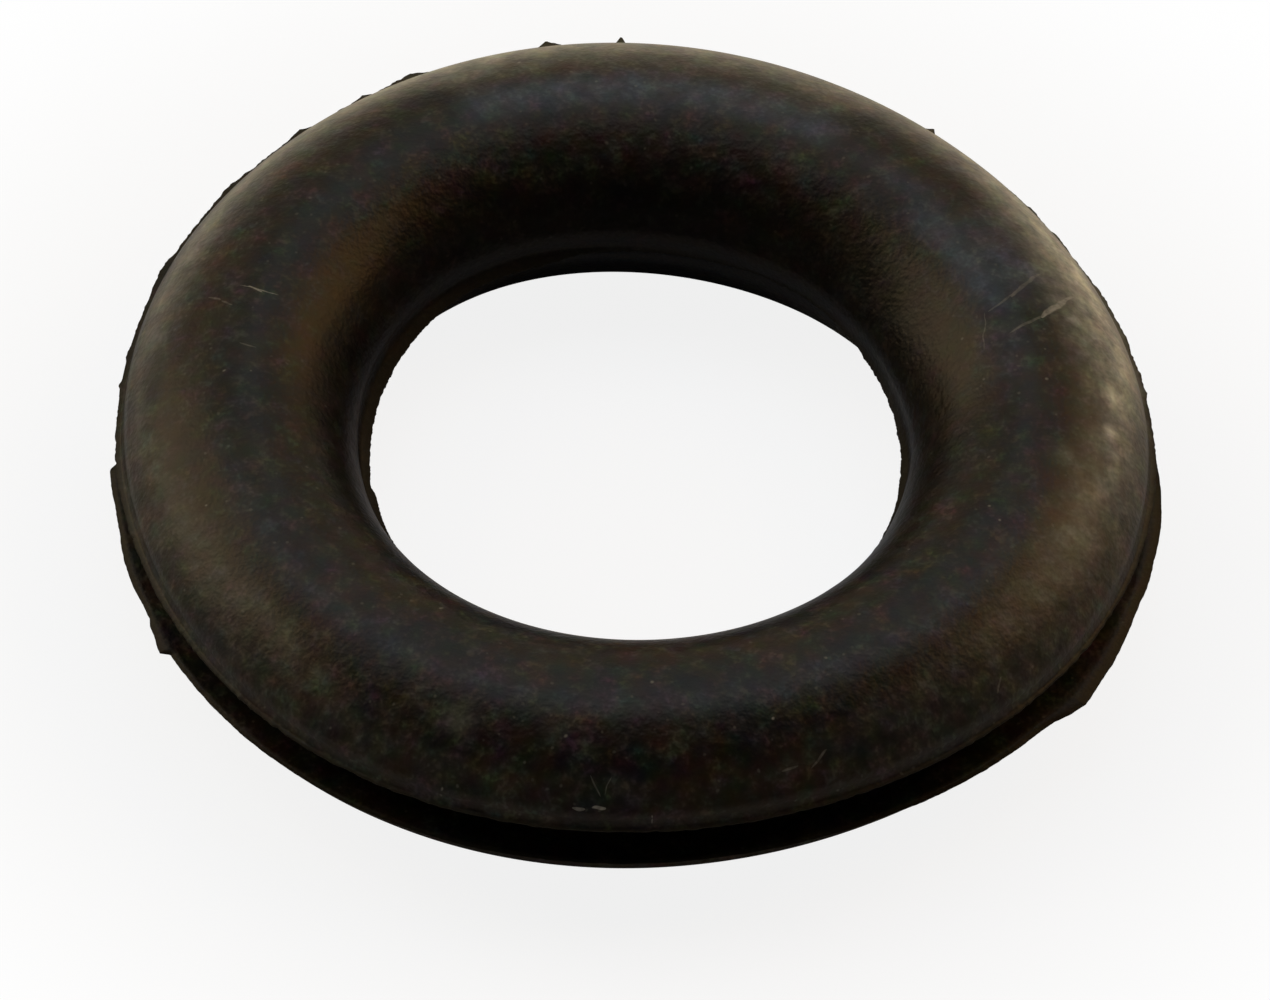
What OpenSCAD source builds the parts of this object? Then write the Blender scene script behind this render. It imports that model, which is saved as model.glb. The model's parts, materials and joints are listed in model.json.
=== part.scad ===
// Rubber grommet: a soft moulded ring that lines a hole in a panel.
// Two crowned flanges stand either side of a groove that the panel's edge sits in,
// and a cable or pipe passes through the bore.
// Millimetres. The bore's axis is Z, and Z = 0 is the middle of the panel groove.

/* [Bore] */
// Diameter of the bore
bore_d = 20; // [16:0.5:22]
// Height of the straight wall in the middle of the bore
bore_land_h = 1.2; // [0.6:0.1:2]

/* [Flanges] */
// Diameter over the flanges
flange_d = 37; // [34:0.5:44]
// Thickness over the two crowned faces
thickness = 7.4; // [6.4:0.1:9]
// Diameter of the circle on which each face is highest
crest_d = 28; // [26:0.5:30]
// Height of the upright rim round each flange
rim_h = 0.25; // [0.1:0.05:0.5]

/* [Panel groove] */
// Width of the groove, the thickness of the panel that it takes
groove_w = 1.6; // [1:0.1:2.4]
// Diameter of the groove's floor, the diameter of the panel's hole
groove_d = 27; // [25:0.5:29]
// Radius of the fillets along the groove's floor
groove_fillet_r = 0.4; // [0.1:0.05:0.45]

/* [Mould flash] */
// Thickness of the flash that is left on the lower flange
flash_t = 0.2; // [0.1:0.05:0.3]
// Widest reach of the flash past the flange on the +X side
flash_reach_right = 0.8; // [0.4:0.05:1.5]
// Widest reach of the flash past the flange on the -X side
flash_reach_left = 0.4; // [0.2:0.05:1]

/* [Hidden] */
$fn = 180;

rubber = [0.10, 0.10, 0.09];

bore_r = bore_d / 2;
flange_r = flange_d / 2;
crest_r = crest_d / 2;
groove_r = groove_d / 2;
half_t = thickness / 2;
half_groove = groove_w / 2;

// Top of the upright rim, and how far past the section its cutting shapes reach.
rim_z = half_groove + rim_h;
spare = 1;
micron = 0.001;

// The flash is rooted this far inside the flange, and its edge is drawn in steps of this angle.
flash_root = 0.5;
flash_step = 3;
// Angles from +X, towards +Y, at which each strip of flash starts, is widest and ends.
flash_right_angles = [12, -33, -43];
flash_left_angles = [183, 209, 212];
// Share of its widest reach that a strip has where it starts.
flash_start_share = 0.55;

function polar(r, angle) = r * [cos(angle), sin(angle)];

// Radius of the arc that leaves the crest level and ends at a point that lies `run` away
// from the crest and `drop` below it. It is rounded up to a whole number of microns, so that
// the arcs on the two sides of the crest top out at exactly the same height.
function crown_radius(run, drop) =
    ceil((run * run + drop * drop) / (2 * drop) / micron) * micron;

// Half of the ring's section, on one side of the crest line. It runs from the crest radius
// to `edge_r`, where an upright wall of half height `wall_z` ends it.
module crowned_half(edge_r, wall_z) {
    run = abs(edge_r - crest_r);
    arc_r = crown_radius(run, half_t - wall_z);
    low_r = min(edge_r, crest_r);
    translate([low_r, -wall_z])
        square([run, 2 * wall_z]);
    for (side = [0, 1])
        mirror([0, side])
            intersection() {
                translate([crest_r, half_t - arc_r])
                    circle(arc_r);
                translate([low_r, wall_z])
                    square([run, half_t - wall_z + spare]);
            }
}

// The panel groove's section: a slot open to the outside, with filleted corners at its floor.
module groove_section() {
    difference() {
        translate([groove_r, -half_groove])
            square([flange_r - groove_r + spare, groove_w]);
        for (side = [0, 1])
            mirror([0, side])
                groove_fillet();
    }
}

// What one fillet leaves standing in the groove's upper corner.
module groove_fillet() {
    difference() {
        translate([groove_r - spare, half_groove - groove_fillet_r])
            square([groove_fillet_r + spare, groove_fillet_r + spare]);
        translate([groove_r + groove_fillet_r, half_groove - groove_fillet_r])
            circle(groove_fillet_r);
    }
}

// Thin rubber that was squeezed out along the lower flange's parting line. It widens evenly
// from its first angle to its second, and from there a straight tear runs back to its root
// at its third.
module flash(angles, reach) {
    steps = round(abs(angles[1] - angles[0]) / flash_step);
    edge = [for (i = [0 : steps])
        let (share = flash_start_share + (1 - flash_start_share) * i / steps)
        polar(flange_r + reach * share, angles[0] + (angles[1] - angles[0]) * i / steps)];
    root = [for (i = [steps : -1 : 0])
        polar(flange_r - flash_root, angles[0] + (angles[2] - angles[0]) * i / steps)];
    translate([0, 0, -half_groove - flash_t])
        linear_extrude(flash_t)
            polygon(concat(edge, root));
}

module grommet() {
    color(rubber) {
        rotate_extrude()
            difference() {
                union() {
                    crowned_half(flange_r, rim_z);
                    crowned_half(bore_r, bore_land_h / 2);
                }
                groove_section();
            }
        flash(flash_right_angles, flash_reach_right);
        flash(flash_left_angles, flash_reach_left);
    }
}

grommet();
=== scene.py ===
import json
import math
from dataclasses import dataclass

import bpy
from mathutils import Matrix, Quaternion, Vector, noise


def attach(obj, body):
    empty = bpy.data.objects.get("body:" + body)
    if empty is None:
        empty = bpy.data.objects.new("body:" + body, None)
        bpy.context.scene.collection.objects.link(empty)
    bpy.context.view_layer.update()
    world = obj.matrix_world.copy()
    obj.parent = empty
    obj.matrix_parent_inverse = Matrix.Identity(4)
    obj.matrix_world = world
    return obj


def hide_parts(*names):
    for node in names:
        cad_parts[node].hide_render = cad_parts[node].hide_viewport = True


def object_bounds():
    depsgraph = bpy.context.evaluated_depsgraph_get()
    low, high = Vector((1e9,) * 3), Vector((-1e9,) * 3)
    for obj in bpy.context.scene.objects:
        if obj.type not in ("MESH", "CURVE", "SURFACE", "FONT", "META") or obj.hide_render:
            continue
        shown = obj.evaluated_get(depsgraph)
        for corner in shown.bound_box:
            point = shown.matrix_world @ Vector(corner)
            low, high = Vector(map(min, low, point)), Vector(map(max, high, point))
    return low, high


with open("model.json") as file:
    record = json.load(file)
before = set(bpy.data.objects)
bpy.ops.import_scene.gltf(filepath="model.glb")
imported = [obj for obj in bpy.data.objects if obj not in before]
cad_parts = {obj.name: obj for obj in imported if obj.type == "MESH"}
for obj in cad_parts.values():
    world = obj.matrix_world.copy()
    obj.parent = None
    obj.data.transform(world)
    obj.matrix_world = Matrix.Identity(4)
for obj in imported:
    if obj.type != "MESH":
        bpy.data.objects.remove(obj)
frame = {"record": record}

# Rubber grommet: the moulded ring's skin with its torn flash, its rubber, a pale sweep, soft
# lamps and the camera. Lengths are in millimetres and angles in degrees, from +X towards +Y,
# until a point or a lamp is made, and metres after that.
MM = 0.001

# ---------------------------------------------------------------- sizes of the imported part

cad_low, cad_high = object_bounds()
mounts = {mount["name"]: mount["dims"] for mount in frame["record"]["mounts"]}

BORE_R = mounts["bore"]["r_mm"]
LAND_TOP = mounts["bore"]["length_mm"] / 2
GROOVE_R = mounts["panel_groove"]["r_mm"]
GROOVE_TOP = mounts["panel_groove"]["length_mm"] / 2
HALF_T = cad_high.z / MM
FLANGE_R = cad_high.y / MM
CREST_R = 14.0
RIM_H = 0.25
RIM_TOP = GROOVE_TOP + RIM_H
FILLET_R = 0.4

# ---------------------------------------------------------------- how the skin is divided

# Steps round the ring, for most rows and for the rows of the lips.
STEPS = 600
FINE_STEPS = 3 * STEPS
INNER_ARC_ROWS = 16
OUTER_ARC_ROWS = 18
FILLET_ROWS = 4

# ---------------------------------------------------------------- how the soft ring has set

# Each wave is its number of lobes, its height and the angle of its first lobe.
RIM_WAVES = ((2, 0.09, 96.6), (3, 0.163, -10.1), (4, 0.069, -12.1))
BORE_WAVES = ((1, 0.17, -21.4), (2, 0.068, 10.3), (3, 0.125, 13.8), (4, 0.055, 37.1))
LIFT_WAVES = ((2, 0.144, -80.5),)
# At angles: how far the foot of the upper crown's inner roll leans in over the bore. The lean
# grows with this power of the way down from the crest.
ROLL_LEAN = (
    (0, 0.28), (10, 0.38), (20, 0.48), (36, 0.4), (50, 0.2), (60, 0.12), (75, 0.03), (90, 0.0),
    (310, 0.0), (320, 0.04), (330, 0.12), (340, 0.2), (350, 0.26),
)
ROLL_LEAN_POWER = 5
# At angles: how far the upper crown's edge stands back from its lip. The step back grows with
# this power of the way out from the crest.
EDGE_BACK = (
    (0, 0.06), (20, 0.06), (45, 0.02), (110, 0.02), (125, 0.04), (140, 0.07), (160, 0.09),
    (185, 0.1), (200, 0.1), (225, 0.0), (335, 0.0), (350, 0.06),
)
EDGE_BACK_POWER = 3


def wave(lobes, angle):
    """Height at an angle of the sum of some waves round the ring."""
    return sum(
        height * math.cos(math.radians(count * (angle - first)))
        for count, height, first in lobes
    )


def roughness_round(angle, fineness, layer):
    """Noise that runs round the ring without a seam. Its bumps are about 57 / fineness degrees."""
    turn = math.radians(angle)
    spot = Vector((math.cos(turn), math.sin(turn), 0)) * fineness
    return noise.noise(spot + Vector((0, 0, layer)))


def between_knots(knots, angle):
    """Straight-line values at an angle between knots that run once round the ring."""
    angle = angle % 360
    below = max((k for k in knots if k[0] <= angle), default=(knots[-1][0] - 360, *knots[-1][1:]))
    above = min((k for k in knots if k[0] > angle), default=(knots[0][0] + 360, *knots[0][1:]))
    share = (angle - below[0]) / (above[0] - below[0])
    return [low + (high - low) * share for low, high in zip(below[1:], above[1:])]


# ---------------------------------------------------------------- the three lips of flash

# Fineness of a torn edge's teeth and of the small teeth between them, and how deep the small
# ones are beside the others.
TOOTH_FINENESS = 45
SMALL_TOOTH_FINENESS = 130
SMALL_TOOTH_DEPTH = 0.6
# How far a lip's edge sways up and down, the fineness of the sway, and its layer of noise above
# the lip's own.
LIP_SWAY = 0.03
SWAY_FINENESS = 12
SWAY_LAYER = 20


@dataclass
class Lip:
    """A thin edge of flash. Its reach runs straight from knot to knot, and its edge is torn.
    The droop knots say how far it hangs for each millimetre that it reaches."""

    knots: tuple
    torn: float
    layer: float
    droop: tuple = ((0, 0.0),)
    least: float = 0.02

    def reach(self, angle):
        """How far the lip stands past its root at an angle."""
        teeth = roughness_round(angle, TOOTH_FINENESS, self.layer)
        small_teeth = roughness_round(angle, SMALL_TOOTH_FINENESS, self.layer)
        ragged = teeth + SMALL_TOOTH_DEPTH * small_teeth
        return max(self.least, between_knots(self.knots, angle)[0] + self.torn * ragged)


UPPER_LIP = Lip(
    knots=(
        (0, 0.12), (3, 0.07), (9, 0.07), (10, 0.17), (11, 0.08), (13, 0.14), (15, 0.05),
        (18, 0.13), (24, 0.13), (32, 0.08), (35, 0.17), (37, 0.08), (40, 0.18), (42, 0.12),
        (55.4, 0.17), (56, 0.38), (57, 0.18), (70, 0.15), (92.5, 0.23), (93.1, 0.68), (93.9, 0.23),
        (99.5, 0.33), (101.3, 0.6), (102.6, 0.25), (115, 0.25), (117, 0.46), (119, 0.34),
        (122, 0.2), (123.2, 0.34), (125, 0.2), (130, 0.1), (131.8, 0.28), (134, 0.15), (140, 0.12),
        (143, 0.23), (146, 0.13), (150, 0.08), (155, 0.07), (157, 0.18), (160, 0.13), (162, 0.05),
        (169, 0.01), (171, 0.07), (174, -0.02), (176, 0.07), (178, 0.0), (186, 0.09), (200, 0.06),
        (230, 0.1), (270, 0.06), (300, 0.1), (340, 0.07),
    ),
    torn=0.05,
    layer=3.1,
)
LOWER_LIP = Lip(
    knots=(
        (0, 0.38), (6, 0.3), (12, 0.25), (20, 0.1), (60, 0.06), (120, 0.1), (182.9, 0.04),
        (183.7, 0.25), (186, 0.23), (189, 0.14), (193, 0.14), (197, 0.24), (201, 0.24),
        (204, 0.17), (206, 0.17), (207, 0.28), (209, 0.36), (210.2, 0.48), (211, 0.5),
        (211.7, 0.2), (222, 0.18), (240, 0.15), (280, 0.11), (300, 0.15), (310, 0.27), (322, 0.34),
        (324, 0.42), (326, 0.64), (328, 0.77), (332, 0.64), (336, 0.55), (341, 0.41), (344, 0.37),
        (346, 0.43), (350, 0.38), (354, 0.43),
    ),
    torn=0.02,
    layer=7.7,
)
BORE_FIN = Lip(
    knots=(
        (0, 0.64), (5, 0.65), (10, 0.68), (20, 0.6), (30, 0.53), (40, 0.34), (52, 0.14), (65, 0.06),
        (90, 0.05), (103, 0.13), (112, 0.31), (128, 0.31), (140, 0.39), (150, 0.46), (165, 0.49),
        (180, 0.49), (190, 0.42), (194, 0.34), (195.5, 0.45), (200, 0.44), (206, 0.37),
        (215, 0.36), (230, 0.3), (270, 0.15), (300, 0.3), (325, 0.46), (335, 0.42), (345, 0.48),
        (350, 0.52), (355, 0.6),
    ),
    torn=0.03,
    layer=11.3,
    droop=((0, 0.3), (20, 0.9), (165, 0.9), (185, 0.28), (350, 0.28)),
)

# ---------------------------------------------------------------- bloom and painted light on the crown

# Rows that are nearer to the middle height than this carry neither bloom with its painted rim
# reflection nor painted highlights.
BLOOM_AND_PAINTED_LIGHT_FOOT = GROOVE_TOP + 0.02
# At angles: the radii at which the bloom starts, is palest and has thinned away, and its
# strength where it is palest. The bloom is partly the rubber's own and partly a painted
# reflection of the bright floor behind the rims. It rises with this power of the way from its
# start.
BLOOM_AND_RIM_REFLECTION = (
    (0, 15.1, 17.4, 18.6, 0.45), (12, 14.9, 17.7, 18.8, 0.86), (28, 15.0, 17.7, 18.9, 1.0),
    (45, 15.5, 17.7, 18.9, 0.78), (59, 15.4, 17.7, 18.9, 0.48), (63, 14.4, 17.7, 18.9, 0.45),
    (90, 14.6, 17.7, 18.9, 0.49), (105, 14.7, 17.7, 18.7, 0.56), (115, 14.6, 17.7, 18.6, 0.63),
    (119, 15.5, 17.8, 18.6, 0.64), (135, 15.6, 17.8, 18.5, 0.45), (150, 15.7, 17.8, 18.4, 0.37),
    (165, 15.8, 17.8, 18.4, 0.28), (180, 16.3, 17.8, 18.5, 0.11), (195, 16.3, 17.4, 19.3, 0.1),
    (210, 15.8, 16.8, 19.5, 0.07), (225, 15.8, 16.5, 19.5, 0.07), (240, 17.0, 17.7, 18.9, 0.03),
    (285, 17.0, 17.7, 18.9, 0.02), (300, 16.2, 17.0, 19.5, 0.03), (315, 15.1, 16.8, 19.3, 0.045),
    (330, 14.8, 16.6, 19.2, 0.12), (345, 15.0, 16.6, 18.8, 0.27),
)
BLOOM_AND_RIM_REFLECTION_POWER = 1.7


@dataclass
class Patch:
    """A soft patch on the upper crown: the angles and the radii that it lies between, how far
    its sides and its edges fade, and its strength."""

    first: float
    last: float
    side: float
    low: float
    high: float
    edge: float
    strength: float

    def at(self, r, angle):
        """Strength of the patch at a radius and an angle."""
        turned = abs((angle - (self.first + self.last) / 2 + 180) % 360 - 180)
        beside = turned - (self.last - self.first) / 2
        beyond = abs(r - (self.low + self.high) / 2) - (self.high - self.low) / 2
        fade_round = min(max(0.5 - beside / self.side, 0), 1)
        fade_across = min(max(0.5 - beyond / self.edge, 0), 1)
        return self.strength * fade_round * fade_across


# Painted highlights: soft bluish reflections of the cool lamps, laid on the crest as colour.
PAINTED_HIGHLIGHT_PATCHES = (
    Patch(61, 117, 4, 13.7, 15.0, 0.9, 0.58),
    Patch(18, 42, 7, 12.8, 13.8, 0.8, 0.65),
    Patch(2, 20, 8, 12.4, 13.8, 0.9, 0.22),
    Patch(22, 34, 5, 12.7, 13.3, 0.7, 0.7),
    Patch(20, 36, 8, 14.0, 15.6, 1.2, 0.6),
    Patch(40, 52, 14, 13.4, 14.3, 0.9, 0.3),
    Patch(200, 342, 24, 14.55, 15.35, 0.6, 0.22),
)
# Single spots of bloom.
BLOOM_SPOTS = (
    Patch(14.6, 16.6, 1.6, 15.9, 16.5, 0.5, 0.55),
    Patch(18.0, 19.6, 2.5, 15.5, 16.4, 0.6, 0.4),
    Patch(2.5, 6.0, 3.0, 16.7, 17.3, 0.6, 1.1),
    Patch(356.5, 359.5, 3.0, 16.6, 17.2, 0.6, 0.9),
    Patch(350, 352, 4.0, 15.1, 15.6, 0.7, 0.25),
    Patch(248.5, 252, 2.5, 15.9, 16.8, 0.7, 0.08),
    Patch(261, 263, 2.0, 15.8, 16.3, 0.5, 0.05),
)


# ---------------------------------------------------------------- the ring's section


@dataclass
class Row:
    """One ring of the skin's points. A row on a lip is pushed out by a share of the lip's reach,
    or in over the bore where the share is negative."""

    r: float
    z: float
    lip: Lip = None
    share: float = 0.0

    @property
    def fine(self):
        """Whether the row has the finer steps."""
        return self.lip is not None

    def haze(self, angle):
        """How much painted highlight lies on the row at an angle. It lies on the upper crown only."""
        return max(haze.at(self.r, angle) for haze in PAINTED_HIGHLIGHT_PATCHES) if self.z > BLOOM_AND_PAINTED_LIGHT_FOOT else 0.0

    def spots(self, angle):
        """How much the single spots of bloom add on the row at an angle."""
        return max(spot.at(self.r, angle) for spot in BLOOM_SPOTS) if self.z > BLOOM_AND_PAINTED_LIGHT_FOOT else 0.0

    def bloom(self, angle):
        """How much pale bloom lies on the row at an angle. It is partly the rubber's own bloom and
        partly a painted reflection of the bright floor behind the rim.
        """
        if abs(self.z) < BLOOM_AND_PAINTED_LIGHT_FOOT:
            return 0.0
        start, peak, end, strength = between_knots(BLOOM_AND_RIM_REFLECTION, angle)
        rise = min(max((self.r - start) / (peak - start), 0), 1) ** BLOOM_AND_RIM_REFLECTION_POWER
        fall = min(max((end - self.r) / (end - peak), 0), 1)
        return max(strength * rise * fall, self.spots(angle))


def arc_radius(run, drop):
    """Radius of the arc that leaves the crest level and falls by a drop over a run."""
    return (run * run + drop * drop) / (2 * drop)


def crown_arc(edge_r, edge_z, rows):
    """Rows of the arc from the crest to an edge, without its two ends."""
    run = edge_r - CREST_R
    arc_r = arc_radius(run, HALF_T - edge_z)
    sweep = math.asin(run / arc_r)
    turns = [sweep * i / (rows + 1) for i in range(1, rows + 1)]
    return [Row(CREST_R + arc_r * math.sin(t), HALF_T - arc_r * (1 - math.cos(t))) for t in turns]


def fin_rows():
    """Rows of the parting line's fin in the bore, from its upper root to its lower one."""
    return [
        Row(BORE_R, 0.17, BORE_FIN, 0.0),
        Row(BORE_R, 0.09, BORE_FIN, -0.35),
        Row(BORE_R, 0.04, BORE_FIN, -0.9),
        Row(BORE_R, 0.01, BORE_FIN, -1.0),
        Row(BORE_R, -0.03, BORE_FIN, -0.98),
        Row(BORE_R, -0.09, BORE_FIN, -0.4),
        Row(BORE_R, -0.17, BORE_FIN, 0.0),
    ]


def rim_rows(lip):
    """Rows from the crown's outer edge over a lip's top and back under it."""
    return [
        Row(FLANGE_R - 0.18, RIM_TOP + 0.07, lip, 0.0),
        Row(FLANGE_R - 0.09, RIM_TOP - 0.04, lip, 0.0),
        Row(FLANGE_R - 0.07, RIM_TOP - 0.12, lip, 0.0),
        Row(FLANGE_R - 0.04, GROOVE_TOP + 0.09, lip, 0.3),
        Row(FLANGE_R - 0.01, GROOVE_TOP + 0.07, lip, 0.85),
        Row(FLANGE_R, GROOVE_TOP + 0.04, lip, 1.0),
        Row(FLANGE_R, GROOVE_TOP + 0.01, lip, 0.96),
        Row(FLANGE_R - 0.1, GROOVE_TOP, lip, 0.0),
    ]


def groove_rows():
    """Rows down the groove's upper wall, round its fillet and to the middle of its floor."""
    wall = [Row(FLANGE_R - inward, GROOVE_TOP) for inward in (0.7, 2.2, 3.6)]
    turns = [math.radians(90 * i / FILLET_ROWS) for i in range(FILLET_ROWS + 1)]
    fillet = [
        Row(
            GROOVE_R + FILLET_R * (1 - math.sin(t)),
            GROOVE_TOP - FILLET_R * (1 - math.cos(t)),
        )
        for t in turns
    ]
    return wall + fillet


def upper_half(lip):
    """Rows of the ring's upper half, from the bore's wall to the groove's floor."""
    land = [Row(BORE_R, LAND_TOP * share) for share in (0.5, 0.75, 1)]
    inner = crown_arc(BORE_R, LAND_TOP, INNER_ARC_ROWS)[::-1]
    outer = crown_arc(FLANGE_R, RIM_TOP, OUTER_ARC_ROWS)
    return land + inner + [Row(CREST_R, HALF_T)] + outer + rim_rows(lip) + groove_rows()


def mirrored(rows):
    """The same rows on the lower half of the ring."""
    return [Row(row.r, -row.z, row.lip, row.share) for row in rows]


def section():
    """All rows of the ring, once round its section, from the tip of the bore's fin."""
    fin = fin_rows()
    tip = len(fin) // 2
    above = fin[tip::-1] + upper_half(UPPER_LIP)
    below = mirrored(upper_half(LOWER_LIP))[::-1] + fin[:tip:-1]
    return above + below


# ---------------------------------------------------------------- the skin


def set_point(row, angle):
    """Where a row's point at an angle lies on the real, slightly distorted ring, in metres."""
    r, z = row.r, row.z
    across = min(max((row.r - BORE_R) / (FLANGE_R - BORE_R), 0), 1)
    before_crest = min(max((CREST_R - row.r) / (CREST_R - BORE_R), 0), 1)
    past_crest = min(max((row.r - CREST_R) / (FLANGE_R - CREST_R), 0), 1)
    if row.z > 0:
        off_lip = 1 - abs(row.share)
        r -= off_lip * before_crest**ROLL_LEAN_POWER * between_knots(ROLL_LEAN, angle)[0]
        r -= off_lip * past_crest**EDGE_BACK_POWER * between_knots(EDGE_BACK, angle)[0]
    if row.lip:
        reach = row.share * row.lip.reach(angle)
        r += reach
        z -= abs(reach) * between_knots(row.lip.droop, angle)[0]
        sway = roughness_round(angle, SWAY_FINENESS, row.lip.layer + SWAY_LAYER)
        z += abs(row.share) * LIP_SWAY * sway
    r += across * wave(RIM_WAVES, angle) + (1 - across) * wave(BORE_WAVES, angle)
    z += past_crest * wave(LIFT_WAVES, angle)
    turn = math.radians(angle)
    return Vector((r * math.cos(turn), r * math.sin(turn), z)) * MM


def edge_points(start, count, step, other_count):
    """Points of a row along one step of the coarser of two neighbouring rows."""
    parts = max(1, count // other_count)
    return [start + (step * parts + i) % count for i in range(parts + 1)]


def ring_skin(rows):
    """Points and faces of the closed skin over the rows, and the shares of bloom and painted rim
    reflection, of painted highlight and of lip at its points. Where a fine row meets a coarse one,
    three steps of the fine one share a face with one step of the coarse one."""
    points, starts, counts = [], [], []
    shares = {"bloom": [], "haze": [], "lip": []}
    for row in rows:
        count = FINE_STEPS if row.fine else STEPS
        starts.append(len(points))
        counts.append(count)
        points += [set_point(row, 360 * i / count) for i in range(count)]
        shares["bloom"] += [row.bloom(360 * i / count) for i in range(count)]
        shares["haze"] += [row.haze(360 * i / count) for i in range(count)]
        shares["lip"] += [abs(row.share)] * count
    faces = []
    for here in range(len(rows)):
        there = (here + 1) % len(rows)
        for step in range(min(counts[here], counts[there])):
            faces.append(
                edge_points(starts[here], counts[here], step, counts[there])
                + edge_points(starts[there], counts[there], step, counts[here])[::-1]
            )
    return points, faces, shares


def add_mesh(name, points, faces, finish, shares=None):
    """Adds a smooth mesh. Its shares are named lists with a number for each point."""
    mesh = bpy.data.meshes.new(name)
    mesh.from_pydata(points, [], faces)
    for share, numbers in (shares or {}).items():
        mesh.attributes.new(share, "FLOAT", "POINT").data.foreach_set("value", numbers)
    mesh.update()
    mesh.shade_smooth()
    mesh.materials.append(finish)
    piece = bpy.data.objects.new(name, mesh)
    bpy.context.scene.collection.objects.link(piece)
    return piece


# ---------------------------------------------------------------- shader sums


class Wire:
    """A shader socket that takes part in Python sums. Each sum adds one Math node."""

    def __init__(self, tree, socket=None):
        self.tree = tree
        self.socket = socket

    def add(self, kind, settings=None, values=()):
        """Adds a node to this wire's tree, makes its settings, then fills its shown sockets in
        their order, or by name. Its first shown output comes back as a wire."""
        node = self.tree.nodes.new(kind)
        for name, setting in (settings or {}).items():
            setattr(node, name, setting)
        shown = [socket for socket in node.inputs if socket.enabled]
        if isinstance(values, dict):
            shown = [next(socket for socket in shown if socket.name == name) for name in values]
            values = values.values()
        for socket, value in zip(shown, values):
            if isinstance(value, Wire):
                self.tree.links.new(value.socket, socket)
            else:
                socket.default_value = value
        shown = [socket for socket in node.outputs if socket.enabled]
        return Wire(self.tree, shown[0]) if shown else None

    def other(self, name):
        """Another output of the node that this wire comes from."""
        return Wire(self.tree, self.socket.node.outputs[name])

    def math(self, operation, *values):
        return self.add("ShaderNodeMath", {"operation": operation}, values)

    def vector(self, operation, *values):
        return self.add("ShaderNodeVectorMath", {"operation": operation}, values)

    def __add__(self, other):
        return self.math("ADD", self, other)

    def __radd__(self, other):
        return self.math("ADD", other, self)

    def __sub__(self, other):
        return self.math("SUBTRACT", self, other)

    def __rsub__(self, other):
        return self.math("SUBTRACT", other, self)

    def __mul__(self, other):
        return self.math("MULTIPLY", self, other)

    def __rmul__(self, other):
        return self.math("MULTIPLY", other, self)

    def most(self, other):
        return self.math("MAXIMUM", self, other)

    def ease(self, low, high):
        """Rises smoothly from 0 where this wire is low to 1 where it is high, or the other way."""
        ends = (low, high, 0.0, 1.0) if low < high else (high, low, 1.0, 0.0)
        return self.add("ShaderNodeMapRange", {"interpolation_type": "SMOOTHSTEP"}, (self, *ends))

    def over(self, under, colour):
        """This mask lays a colour over another one."""
        return self.add("ShaderNodeMix", {"data_type": "RGBA"}, (self, under, colour))

    def cloud(self, size, detail, layer=0.0, rough=0.5):
        """Soft noise in lumps of a size in millimetres, for a wire that holds a place."""
        values = {"Vector": self.vector("ADD", self, (layer,) * 3), "Scale": 1 / size}
        return self.add("ShaderNodeTexNoise", None, {**values, "Detail": detail, "Roughness": rough})


def new_finish(name):
    """A material without nodes, and a wire to start its sums from."""
    finish = bpy.data.materials.new(name)
    finish.use_nodes = True
    finish.node_tree.nodes.clear()
    return finish, Wire(finish.node_tree)


# ---------------------------------------------------------------- marks on the upper crown


@dataclass
class Mark:
    """A slim oval between two spots of the upper crown, or a speck on one spot. A spot is an
    angle and a radius."""

    half_width: float
    spots: tuple


SCRATCHES = (
    Mark(0.045, ((164.9, 14.55), (165.4, 14.0))),
    Mark(0.025, ((165.0, 14.85), (165.2, 13.4))),
    Mark(0.16, ((15.7, 14.83), (19.1, 16.2))),
    Mark(0.09, ((16.9, 15.3), (20.2, 16.66))),
    Mark(0.05, ((265.4, 18.2), (266.7, 18.19))),
    Mark(0.06, ((267.4, 18.16), (269.1, 18.14))),
)
FAINT_SCRATCHES = (
    Mark(0.05, ((318.5, 17.7), (317.2, 18.0))),
    Mark(0.05, ((167.6, 15.85), (168.0, 15.35))),
    Mark(0.05, ((168.2, 15.3), (168.7, 14.9))),
    Mark(0.04, ((175.8, 14.3), (176.5, 13.7))),
    Mark(0.06, ((18.4, 13.0), (20.4, 14.2))),
    Mark(0.1, ((20.0, 14.1), (22.4, 15.0))),
    Mark(0.08, ((21.8, 14.7), (23.9, 15.7))),
    Mark(0.08, ((13.3, 13.5), (16.2, 15.0))),
    Mark(0.035, ((18.5, 12.9), (11.3, 12.4))),
    Mark(0.04, ((267.0, 17.4), (268.2, 17.86))),
    Mark(0.03, ((268.7, 17.8), (269.5, 17.35))),
    Mark(0.05, ((289.1, 17.66), (291.2, 17.62))),
    Mark(0.05, ((292.6, 17.8), (294.7, 17.4))),
)
SPECKS = (
    Mark(0.07, ((181.3, 14.73),)),
    Mark(0.07, ((181.4, 13.81),)),
    Mark(0.08, ((184.7, 11.12),)),
    Mark(0.06, ((203.0, 16.25),)),
    Mark(0.07, ((9.7, 14.6),)),
    Mark(0.08, ((3.9, 14.52),)),
    Mark(0.08, ((15.8, 11.84),)),
    Mark(0.08, ((5.5, 12.2),)),
    Mark(0.12, ((33.8, 16.32),)),
    Mark(0.09, ((106.7, 16.23),)),
    Mark(0.08, ((337.8, 13.54),)),
    Mark(0.08, ((335.9, 14.2),)),
    Mark(0.09, ((239.5, 12.42),)),
    Mark(0.1, ((263.6, 16.3),)),
    Mark(0.06, ((250.9, 18.3),)),
    Mark(0.1, ((274.4, 14.08),)),
    Mark(0.08, ((299.4, 14.45),)),
    Mark(0.09, ((289.6, 16.08),)),
    Mark(0.05, ((274.1, 18.35),)),
)


def plan_spot(angle, r):
    """A spot of the ring seen from above, in millimetres."""
    spot = set_point(Row(r, HALF_T), angle) / MM
    return Vector((spot.x, spot.y, 0))


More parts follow.
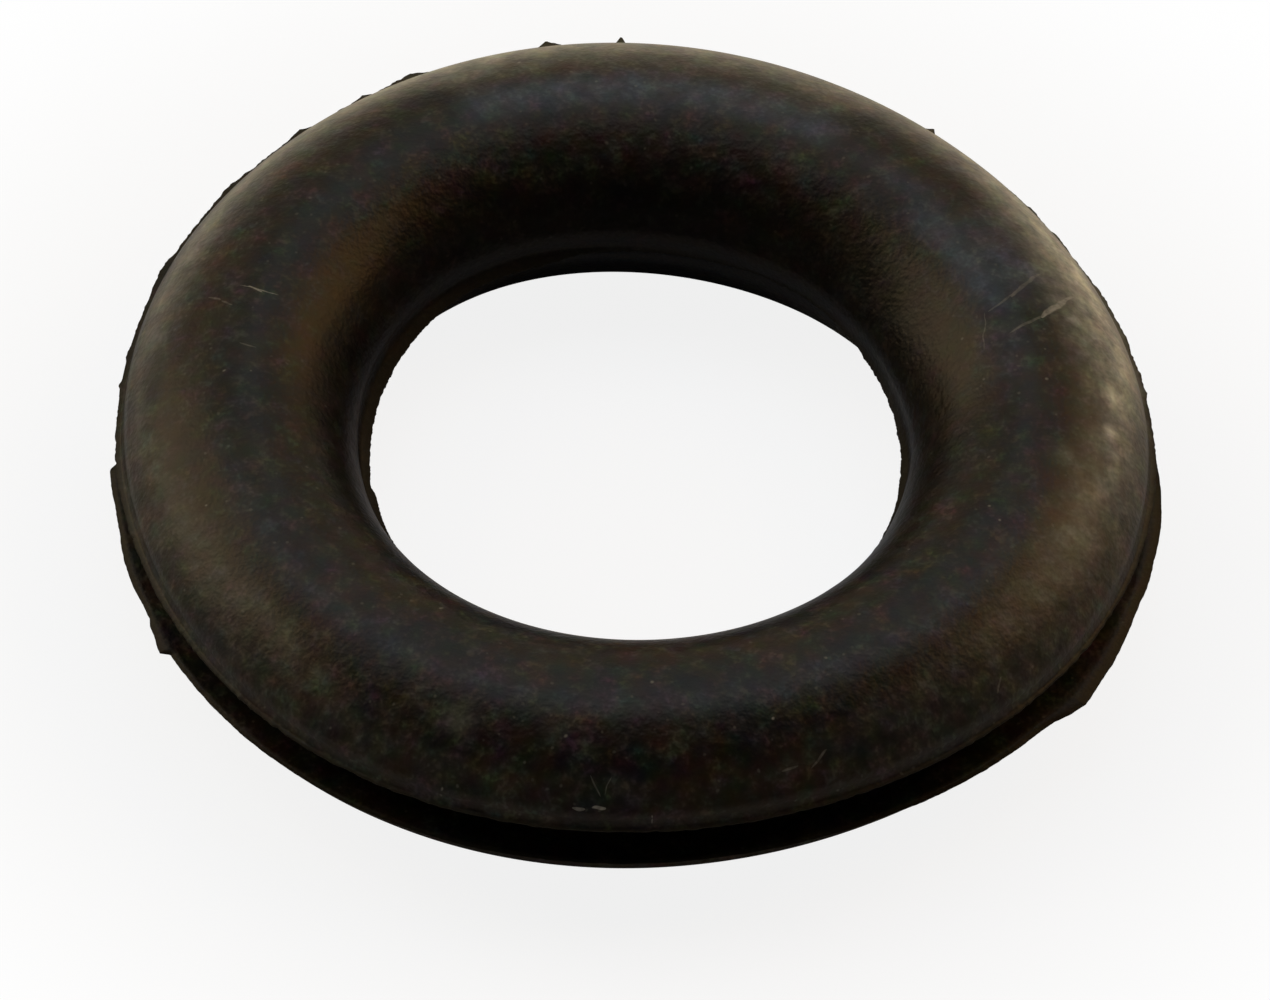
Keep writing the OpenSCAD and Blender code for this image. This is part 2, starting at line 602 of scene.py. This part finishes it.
def cover(plan, marks):
    """Mask of some marks, for a wire that holds a place seen from above. A mark is whole in its
    inner fifth and fades to its edge."""
    near = None
    for mark in marks:
        start, *rest = [plan_spot(*spot) for spot in mark.spots]
        far = plan.vector("DISTANCE", plan, start)
        if rest:
            length = (rest[0] - start).length
            widest = 2 * math.hypot(length / 2, mark.half_width) - length
            far = far + plan.vector("DISTANCE", plan, rest[0])
            far = far.math("MULTIPLY_ADD", far, 1 / widest, -length / widest)
        else:
            far = far * (1 / mark.half_width)
        near = far if near is None else near.math("MINIMUM", near, far)
    return near.ease(1.0, 0.2)


# ---------------------------------------------------------------- finishes

# Sizes of the rubber's clouds, patches, mottles and grain, and the depth of its grain.
CLOUD_SIZE = 3.2
PATCH_SIZE = 0.9
MOTTLE_SIZE = 0.75
GRAIN_SIZE = 0.2
GRAIN_DEPTH = 0.05
# How far the mottles swing the rubber's hues round their mean, and the least that they leave of
# one. On the bloom they swing them less.
HUE_SWING = 1.65
LEAST_HUE = 0.1
FAINT_HUE_SWING = 0.15
# How many cells of dust go to a millimetre, and how far the outlines of marks and dust stray.
DUST_CELLS = 2.2
STRAY = 0.25
# Radii at which painted shade begins to darken the rubber, on the way into the bore, and is
# darkest.
PAINTED_SHADE_FROM_R = 12.4
DARKEST_PAINTED_SHADE_R = 10.4
# Linear colours. The last number of each is its opacity.
RUBBER_WARM = (0.0112, 0.0074, 0.0048, 1)
RUBBER_COOL = (0.0054, 0.0055, 0.0056, 1)
# Painted shade: near black for the shaded inside of the bore.
BORE_PAINTED_SHADE = (0.0012, 0.001, 0.0008, 1)
PALE_GRAIN = (0.1, 0.092, 0.078, 1)
# Painted highlight: bluish colour that stands for the cool lamps' reflections on the crest.
PAINTED_HIGHLIGHT_BLUE = (0.15, 0.2, 0.3, 1)
# Pale bloom, partly the rubber's own and partly a painted reflection of the bright floor.
PALE_BLOOM_AND_RIM_REFLECTION = (0.5, 0.485, 0.39, 1)
DUST = (0.24, 0.23, 0.2, 1)
LIP_BROWN = (0.012, 0.0105, 0.0065, 1)
BROWN_SHEEN = (1, 0.85, 0.7, 1)
# How much each layer covers of what lies under it, where it is whole.
PALE_GRAIN_COVER = 0.32
# The painted highlight's cover.
PAINTED_HIGHLIGHT_COVER = 0.3
SCRATCH_COVER = 0.65
FAINT_SCRATCH_COVER = 0.2
SPECK_COVER = 0.4
DUST_COVER = 0.14
# Cover of the painted shade in the bore.
BORE_PAINTED_SHADE_COVER = 0.7
LIP_BROWN_COVER = 0.8


def skin_share(start, name):
    """A wire with the skin's share of a name."""
    return start.add("ShaderNodeAttribute", {"attribute_name": name}).other("Fac")


def clean_rubber(place, grain, patchy, hues):
    """Colour of the rubber below its wear: clouds of brown and grey, a fine pale grain in
    patches, and mottles of all hues."""
    clouds = place.cloud(CLOUD_SIZE, 2.0).ease(0.36, 0.64).over(RUBBER_COOL, RUBBER_WARM)
    pale = patchy.ease(0.4, 0.65) * (grain.ease(0.4, 0.7) * 0.6 + 0.15) * PALE_GRAIN_COVER
    return place.vector("MULTIPLY", pale.over(clouds, PALE_GRAIN), hues)


def dust_specks(ragged):
    """Mask of the fine dust. Each cell of a loose net holds a speck, and most of them are faint."""
    cells = ragged.add("ShaderNodeTexVoronoi", None, {"Vector": ragged, "Scale": DUST_CELLS})
    chance = ragged.add("ShaderNodeSeparateColor", None, (cells.other("Color"),))
    return cells.ease(0.19, 0.06) * chance.ease(0.3, 0.95)


def handling_marks(place, plan, grain):
    """Mask of the scratches, scuffs and specks on the upper flange, broken up by the grain."""
    upper = place.add("ShaderNodeSeparateXYZ", None, (place,)).other("Z").ease(GROOVE_TOP, RIM_TOP)
    clear = cover(plan, SCRATCHES) * SCRATCH_COVER
    faint = cover(plan, FAINT_SCRATCHES) * FAINT_SCRATCH_COVER
    specks = cover(plan, SPECKS) * SPECK_COVER
    return clear.most(faint).most(specks) * (grain * 1.8) * upper


def black_rubber():
    """Black rubber with brown and grey clouds, painted highlights on the crest, a pale bloom near
    its rims that is partly a painted reflection, dust, scratches and painted shade in the bore.
    """
    finish, start = new_finish("black_rubber_worn")
    place = start.vector("SCALE", start.add("ShaderNodeTexCoord").other("Object"), 1 / MM)
    grain = place.cloud(GRAIN_SIZE, 1.0, 11.0)
    patchy = place.cloud(PATCH_SIZE, 3.0, 7.0, 0.7)
    mottles = place.cloud(MOTTLE_SIZE, 1.0, 31.0).other("Color")
    hues = place.vector("MULTIPLY_ADD", mottles, (HUE_SWING,) * 3, (1 - HUE_SWING / 2,) * 3)
    hues = place.vector("MAXIMUM", hues, (LEAST_HUE,) * 3)
    colour = clean_rubber(place, grain, patchy, hues)

    # Painted highlights over the crest, and pale bloom near the rims that is partly the rubber's
    # own and partly a painted reflection of the bright floor.
    uneven = (patchy * 1.9 - 0.12) * (grain * 0.6 + 0.67)
    colour = (skin_share(start, "haze") * uneven * PAINTED_HIGHLIGHT_COVER).over(colour, PAINTED_HIGHLIGHT_BLUE)
    bloom = skin_share(start, "bloom") * uneven
    swing, mean = (FAINT_HUE_SWING,) * 3, (1 - FAINT_HUE_SWING,) * 3
    faint_hues = place.vector("MULTIPLY_ADD", hues, swing, mean)
    colour = place.vector("MULTIPLY", bloom.over(colour, PALE_BLOOM_AND_RIM_REFLECTION), faint_hues)

    # Marks and dust, whose outlines are ragged.
    ragged = place.vector("SUBTRACT", mottles, (0.5,) * 3)
    ragged = place.vector("MULTIPLY_ADD", ragged, (STRAY,) * 3, place)
    plan = place.vector("MULTIPLY", ragged, (1, 1, 0))
    marks = handling_marks(place, plan, grain).most(dust_specks(ragged) * DUST_COVER)
    colour = marks.over(colour, DUST)

    # Down in the bore, painted shade darkens the rubber. The lips are brown and dull.
    bore_painted_shade = plan.vector("LENGTH", plan).ease(PAINTED_SHADE_FROM_R, DARKEST_PAINTED_SHADE_R)
    lip = skin_share(start, "lip")
    colour = (bore_painted_shade * BORE_PAINTED_SHADE_COVER).over(colour, BORE_PAINTED_SHADE)
    colour = (lip * LIP_BROWN_COVER).over(colour, LIP_BROWN)

    roughness = 0.22 + patchy * 0.34 + grain * 0.06 + bloom * 0.2 + marks * 0.3 + lip * 0.45
    relief = {"Strength": 0.6, "Distance": GRAIN_DEPTH * MM, "Height": grain}
    values = {
        "Base Color": colour,
        "Roughness": roughness,
        "IOR": 1.5,
        "Normal": start.add("ShaderNodeBump", None, relief),
        "Specular IOR Level": 0.11,
        "Specular Tint": BROWN_SHEEN,
        "Coat Weight": 0.07,
        "Coat Roughness": 0.22,
    }
    shader = start.add("ShaderNodeBsdfPrincipled", None, values)
    start.add("ShaderNodeOutputMaterial", None, {"Surface": shader})
    return finish


SWEEP_PAINT = (0.76, 0.79, 0.88, 1)
# How much of the sweep is plain white to the camera, close to the ring and far from it, and the
# distances from the ring's middle that these hold for.
WHITE_NEAR = 0.86
WHITE_FAR = 1.0
NEAR_DISTANCE = 20
FAR_DISTANCE = 36


def pale_sweep():
    """Pale floor and wall. They show white to the camera, keep the shadow and can't be seen
    from below."""
    finish, start = new_finish("pale_sweep")
    seen = start.add("ShaderNodeLightPath").other("Is Camera Ray")
    place = start.add("ShaderNodeTexCoord").other("Object")
    away = start.vector("LENGTH", place).ease(NEAR_DISTANCE * MM, FAR_DISTANCE * MM)
    white_share = (away * (WHITE_FAR - WHITE_NEAR) + WHITE_NEAR) * seen
    back = start.add("ShaderNodeNewGeometry").other("Backfacing")
    paint = start.add("ShaderNodeBsdfDiffuse", None, {"Color": SWEEP_PAINT})
    white = start.add("ShaderNodeEmission", None, {"Color": (1, 1, 1, 1), "Strength": 1.0})
    lit = start.add("ShaderNodeMixShader", None, (white_share, paint, white))
    clear = start.add("ShaderNodeBsdfTransparent")
    surface = start.add("ShaderNodeMixShader", None, (back, lit, clear))
    start.add("ShaderNodeOutputMaterial", None, {"Surface": surface})
    return finish


# ---------------------------------------------------------------- stage, lamps and camera

# Radii of the floor's inner rings and of its edge, radius of its bend up into the wall, height
# of the wall's top, and the steps round the sweep and along its bend.
FLOOR_RINGS = (200, 400, 600, 800)
SWEEP_R = 900
SWEEP_BEND = 150
SWEEP_TOP = 260
SWEEP_STEPS = 96
BEND_STEPS = 6


def add_sweep():
    """Floor that bends up into a low wall all round."""
    floor_z = cad_low.z / MM
    bend = [math.radians(90 * i / BEND_STEPS) for i in range(BEND_STEPS + 1)]
    profile = [(r, 0) for r in FLOOR_RINGS]
    profile += [(SWEEP_R + SWEEP_BEND * math.sin(t), SWEEP_BEND * (1 - math.cos(t))) for t in bend]
    profile.append((SWEEP_R + SWEEP_BEND, SWEEP_TOP))
    turns = [2 * math.pi * i / SWEEP_STEPS for i in range(SWEEP_STEPS)]
    points = [
        Vector((r * math.cos(t), r * math.sin(t), floor_z + z)) * MM for r, z in profile for t in turns
    ]
    faces = [list(range(SWEEP_STEPS))]
    for ring in range(len(profile) - 1):
        for i in range(SWEEP_STEPS):
            j = (i + 1) % SWEEP_STEPS
            low, high = ring * SWEEP_STEPS, (ring + 1) * SWEEP_STEPS
            faces.append([low + j, low + i, high + i, high + j])
    sweep = add_mesh("pale_sweep", points, faces, pale_sweep())


WORLD_GREY = (0.03, 0.03, 0.03)


@dataclass
class Softbox:
    """A soft lamp that faces the ring from an angle round it and an angle above the floor."""

    name: str
    round_angle: float
    height_angle: float
    width: float
    height: float
    power: float
    colour: tuple


SOFTBOXES = (
    Softbox("left_softbox", 155, 31, 500, 480, 2.6, (1.0, 0.82, 0.53)),
    Softbox("right_softbox", 30, 37, 460, 400, 1.85, (1.0, 0.63, 0.27)),
    Softbox("high_softbox", 100, 67, 800, 420, 1.6, (0.8, 0.9, 1.0)),
    Softbox("back_softbox", 89, 27, 900, 500, 1.0, (1.0, 0.86, 0.6)),
    Softbox("tall_window", 90, 45, 170, 330, 0.2, (0.5, 0.8, 1.0)),
)
SOFTBOX_DISTANCE = 700


def add_softbox(box):
    """Adds a softbox's lamp, turned to the ring."""
    light = bpy.data.lights.new(box.name, "AREA")
    light.shape = "RECTANGLE"
    light.size = box.width * MM
    light.size_y = box.height * MM
    light.energy = box.power
    light.color = box.colour
    lamp = bpy.data.objects.new(box.name, light)
    turn, lift = math.radians(box.round_angle), math.radians(box.height_angle)
    away = Vector((math.cos(lift) * math.cos(turn), math.cos(lift) * math.sin(turn), math.sin(lift)))
    lamp.location = away * SOFTBOX_DISTANCE * MM
    lamp.rotation_mode = "QUATERNION"
    lamp.rotation_quaternion = away.to_track_quat("Z", "Y")
    bpy.context.scene.collection.objects.link(lamp)


def add_world():
    """Adds an even, dim grey all round."""
    world = bpy.data.worlds.new("studio")
    world.use_nodes = True
    world.node_tree.nodes.clear()
    start = Wire(world.node_tree)
    glow = start.add("ShaderNodeBackground", None, {"Color": (*WORLD_GREY, 1), "Strength": 1.0})
    start.add("ShaderNodeOutputWorld", None, {"Surface": glow})
    bpy.context.scene.world = world


CAMERA_HEIGHT_ANGLE = 48.5
CAMERA_ROLL = 2.6
CAMERA_DISTANCE = 462.5
CAMERA_LENS = 367.6
CAMERA_SENSOR = 36
# The ring's middle stands this far left of and above the picture's middle.
CAMERA_RIGHT = 0.14
CAMERA_DOWN = 1.78


def add_camera():
    """Adds a long lens that looks down at the ring from the front, slightly rolled."""
    lens = bpy.data.cameras.new("camera")
    lens.lens = CAMERA_LENS
    lens.sensor_width = CAMERA_SENSOR
    lens.clip_start = 0.01
    lens.clip_end = 10
    camera = bpy.data.objects.new("camera", lens)
    lift = math.radians(CAMERA_HEIGHT_ANGLE)
    toward = Vector((0, math.cos(lift), -math.sin(lift)))
    camera.rotation_mode = "QUATERNION"
    camera.rotation_quaternion = toward.to_track_quat("-Z", "Y") @ Quaternion(
        (0, 0, 1), math.radians(CAMERA_ROLL)
    )
    aside = camera.rotation_quaternion @ Vector((CAMERA_RIGHT, -CAMERA_DOWN, 0))
    camera.location = (aside - toward * CAMERA_DISTANCE) * MM
    bpy.context.scene.collection.objects.link(camera)
    bpy.context.scene.camera = camera


# ---------------------------------------------------------------- the scene

bpy.context.scene.view_settings.view_transform = "Standard"
add_camera()
add_sweep()
add_world()
for softbox in SOFTBOXES:
    add_softbox(softbox)

skin_points, skin_faces, skin_shares = ring_skin(section())
ring = add_mesh("grommet_ring", skin_points, skin_faces, black_rubber(), skin_shares)
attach(ring, "root")
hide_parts("grommet")
